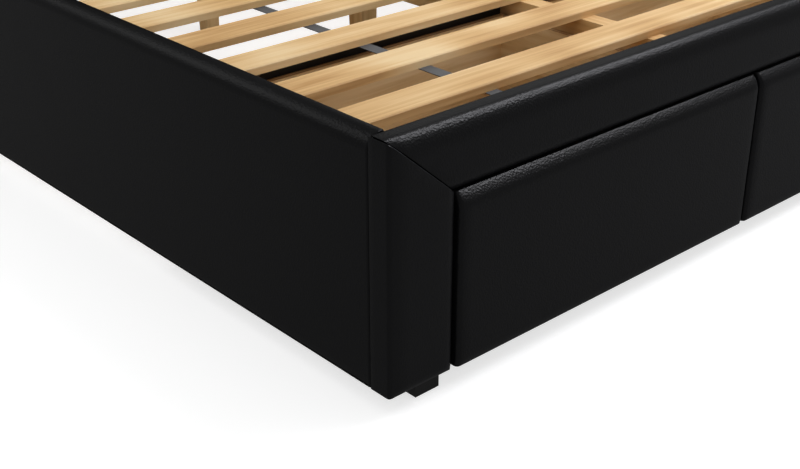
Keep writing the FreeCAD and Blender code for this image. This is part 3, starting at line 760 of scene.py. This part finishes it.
for hand, way in (("left", -1), ("right", 1)):
    low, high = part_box(hand + "_slat_ledger")
    face = high.x if way < 0 else low.x
    level = (low.z + high.z) / 2
    set_out(
        wood_screw, hand + "_ledger_screws",
        spread((face, low.y + 0.08, level), (face, high.y - 0.08, level), 0.3),
        (-way, 0, 0), (0, 1, 0), zinc_plate, "bed_frame",
    )

# A staple through the strap at the middle of each slat, from below.
low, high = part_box("slat_webbing")
half_strap, half_slat, slat_gaps = 0.0125, 0.035, 13
first, last = low.y + half_slat, high.y - half_slat
set_out(
    staple, "webbing_staples",
    [
        point for x in (low.x + half_strap, high.x - half_strap)
        for point in spread((x, first, low.z), (x, last, low.z), (last - first) / slat_gaps)
    ],
    (0, 0, -1), (1, 0, 0), galvanised, "bed_frame",
)

low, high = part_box("beam_hanger")
ear_face = high.y - 0.002
set_out(
    wood_screw, "hanger_screws",
    [(x, ear_face, z) for x in (low.x + 0.015, high.x - 0.015) for z in (low.z + 0.018, high.z - 0.018)],
    (0, -1, 0), (1, 0, 0), zinc_plate, "bed_frame",
)

# ------------------------------------------------------------ headboard
# The headboard is a mitred border round four padded boards, all in the same leather, with a particle
# board behind them and two pine legs screwed to its back.
head_low, head_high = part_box("headboard_top_border")
head_inner_z = head_low.z
cover = block("headboard_top_leather", head_low, head_high)
# A rebate behind holds the panel's edge.
panel_low, panel_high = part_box("headboard_panel")
take_out(
    cover, (head_low.x - past, panel_low.y, head_low.z - past),
    (head_high.x + past, head_high.y + past, panel_high.z),
)
border_roll = (0.022, 0.015, 1)
roll(
    cover, lambda co: near(co.y, head_low.y) and (near(co.z, head_high.z) or near(co.z, head_low.z)),
    *border_roll,
)
pick(cover, "EDGE", lambda co: near(co.y, head_high.y) and near(co.z, head_high.z))
fold(cover, tight)
for hand, way in (("left", -1), ("right", 1)):
    low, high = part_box(hand + "_headboard_border")
    outer, inner = (low.x, high.x) if way < 0 else (high.x, low.x)
    mitre(cover, (outer, head_high.z), (inner, head_inner_z), (0, head_high.z), rail_lip)
slice_up(cover, 0, 0.030)
slice_up(cover, 2, 0.020)
pad_out(cover, 1, head_low.y, 0.002, ((0, 0), (0, 0)))
upholstery(cover, "headboard_top_border")

for hand, way in (("left", -1), ("right", 1)):
    low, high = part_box(hand + "_headboard_border")
    outer, inner = (low.x, high.x) if way < 0 else (high.x, low.x)
    edge = panel_low.x if way < 0 else panel_high.x
    cover = block(hand + "_headboard_border_leather", low, high)
    rebate = sorted((inner - way * past, edge))
    take_out(cover, (rebate[0], panel_low.y, panel_low.z), (rebate[1], high.y + past, high.z + past))
    roll(cover, lambda co: near(co.y, low.y) and (near(co.x, low.x) or near(co.x, high.x)), *border_roll)
    mitre(cover, (outer, high.z), (inner, head_inner_z), (inner, low.z), post_lip)
    slice_up(cover, 0, 0.020)
    slice_up(cover, 2, 0.030)
    pad_out(cover, 1, low.y, 0.002, ((0, 0), (0, 0)))
    upholstery(cover, hand + "_headboard_border")

# Coach screws: a hexagon head of 13 mm on a washer of 22 mm.
deselect()
bpy.ops.mesh.primitive_cylinder_add(vertices=24, radius=0.011, depth=0.0016, location=(0, 0, 0.0008))
washer = bpy.context.object
bpy.ops.mesh.primitive_cylinder_add(vertices=6, radius=0.0075, depth=0.0053, location=(0, 0, 0.0042))
coach_screw = bpy.context.object
washer.select_set(True)
bpy.ops.object.join()
bpy.ops.object.transform_apply(location=True)
pick(coach_screw, "EDGE", lambda co: co.z > 0.0068)
fold(coach_screw, 0.0006, 1)
pick(coach_screw, "EDGE", lambda co: near(co.z, 0.0016) and co.xy.length > 0.010)
fold(coach_screw, 0.0004, 1)
for hand in ("left", "right"):
    low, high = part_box(hand + "_headboard_leg")
    middle = (low.x + high.x) / 2
    set_out(
        coach_screw, hand + "_leg_screws", [(middle, high.y, z) for z in (0.26, 0.48, 0.70)],
        (0, 1, 0), (1, 0, 0), zinc_plate, "bed_frame",
    )
for pattern in (staple, wood_screw, coach_screw):
    bpy.data.objects.remove(pattern)

# Foam and leather fill the 6 mm that the padded boards leave at the borders and between them.
at_border, between = 0.0056, 0.0028
for level, below, above in (("lower", 0, between), ("upper", between, at_border)):
    for hand, before, behind in (("left", at_border, between), ("right", between, at_border)):
        low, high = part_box(f"headboard_{level}_{hand}_pad")
        low -= Vector((before, 0, below))
        high += Vector((behind, 0, above))
        cover = block(f"headboard_{level}_{hand}_leather", low, high)
        roll(cover, lambda co: near(co.y, low.y), 0.026, 0.018, 1)
        slice_up(cover, 0, 0.020)
        slice_up(cover, 2, 0.020)
        crown = (0.16, 0.16)
        pad_out(cover, 1, low.y, 0.008, (crown, crown), 0.001)
        upholstery(cover, f"headboard_{level}_{hand}_pad")

# ------------------------------------------------------------ floor, light and camera
# A plain white floor under an even white surround, with a softbox before the foot end on the right, a
# weaker one behind on the left, and the camera at the foot end's left corner.
deselect()
bpy.ops.mesh.primitive_plane_add(size=30, location=(0, 0, cad_box[0][2]))
floor = bpy.context.object
floor.name = "floor"
material, tree, surface, place = blank("painted floor", Base_Color=shade("#cbcbcb"), Roughness=0.8)


def shown_to_camera(tree):
    """Is 1 for camera, glossy and transmission rays, which see the white surround."""
    path = add(tree, "ShaderNodeLightPath")
    seen = add(tree, "ShaderNodeMath", {
        0: path.outputs["Is Camera Ray"], 1: path.outputs["Is Glossy Ray"],
    }, operation="MAXIMUM")
    return add(tree, "ShaderNodeMath", {
        0: seen.outputs[0], 1: path.outputs["Is Transmission Ray"],
    }, operation="MAXIMUM").outputs[0]


# The floor's own glow, seen by the camera and in gloss alone, brings its grey up to white.
glow = add(tree, "ShaderNodeEmission", {"Color": (1, 1, 1, 1)})
gated = add(tree, "ShaderNodeMath", {0: shown_to_camera(tree), 1: 0.67}, operation="MULTIPLY")
tree.links.new(gated.outputs[0], glow.inputs["Strength"])
both = add(tree, "ShaderNodeAddShader", {0: surface.outputs[0], 1: glow.outputs[0]})
tree.links.new(both.outputs[0], tree.nodes["Material Output"].inputs["Surface"])
floor.data.materials.append(material)

world = bpy.data.worlds.new("studio")
bpy.context.scene.world = world
world.use_nodes = True
tree = world.node_tree
level = add(tree, "ShaderNodeMapRange", {"Value": shown_to_camera(tree), "To Min": 0.6, "To Max": 1.0})
background = tree.nodes["Background"]
background.inputs["Color"].default_value = (1, 1, 1, 1)
tree.links.new(level.outputs["Result"], background.inputs["Strength"])


def lamp(name, place, target, size, power):
    """A rectangular soft light that faces a target."""
    data = bpy.data.lights.new(name, "AREA")
    data.shape = "RECTANGLE"
    data.size, data.size_y = size
    data.energy = power
    light = bpy.data.objects.new(name, data)
    bpy.context.scene.collection.objects.link(light)
    light.location = place
    light.rotation_euler = (Vector(target) - Vector(place)).to_track_quat("-Z", "Y").to_euler()
    return light


# The key hangs over the foot end on the right. A second face in it shows in the gloss alone.
lamp("key softbox", (1.3, -1.2, 2.4), (-0.2, -1.0, 0.3), (2.2, 2.2), 40)
glint = lamp("key reflector", (1.04, -1.957, 2.19), (-0.45, -1.07, 0.39), (1.8, 0.8), 200)
glint.rotation_euler.rotate_axis("Z", math.radians(-50))
glint.data.color = (0.95, 0.95, 1.0)
glint.visible_diffuse = False
side = lamp("side softbox", (2.6, -0.9, 0.9), (-0.5, -1.0, 0.2), (1.0, 1.4), 24)
side.data.color = (0.82, 0.86, 1.0)
sheen = lamp("far reflector", (1.6, 0.7, 1.8), (-0.2, -1.0, 0.4), (1.6, 1.6), 15)
sheen.visible_diffuse = False
lamp("rear softbox", (-2.2, 2.0, 2.3), (-0.8, -0.4, 0.4), (2.0, 2.0), 12)
rim = lamp("rear reflector", (-2.0, 1.8, 2.3), (-0.8, -0.4, 0.4), (1.8, 1.4), 27)
rim.visible_diffuse = False

# The camera stands before the foot end's left corner, above the rails.
corner = Vector((cad_box[0][0], cad_box[0][1], 0))
camera_data = bpy.data.cameras.new("camera")
camera = bpy.data.objects.new("camera", camera_data)
bpy.context.scene.collection.objects.link(camera)
camera_data.lens = 57.05
camera_data.sensor_width = 36
camera.location = corner + Vector((-0.929, -1.048, 0.985))
camera.rotation_euler = (math.radians(90 - 26.77), 0, math.radians(-42.10))
bpy.context.scene.camera = camera
bpy.context.scene.view_settings.view_transform = "Standard"
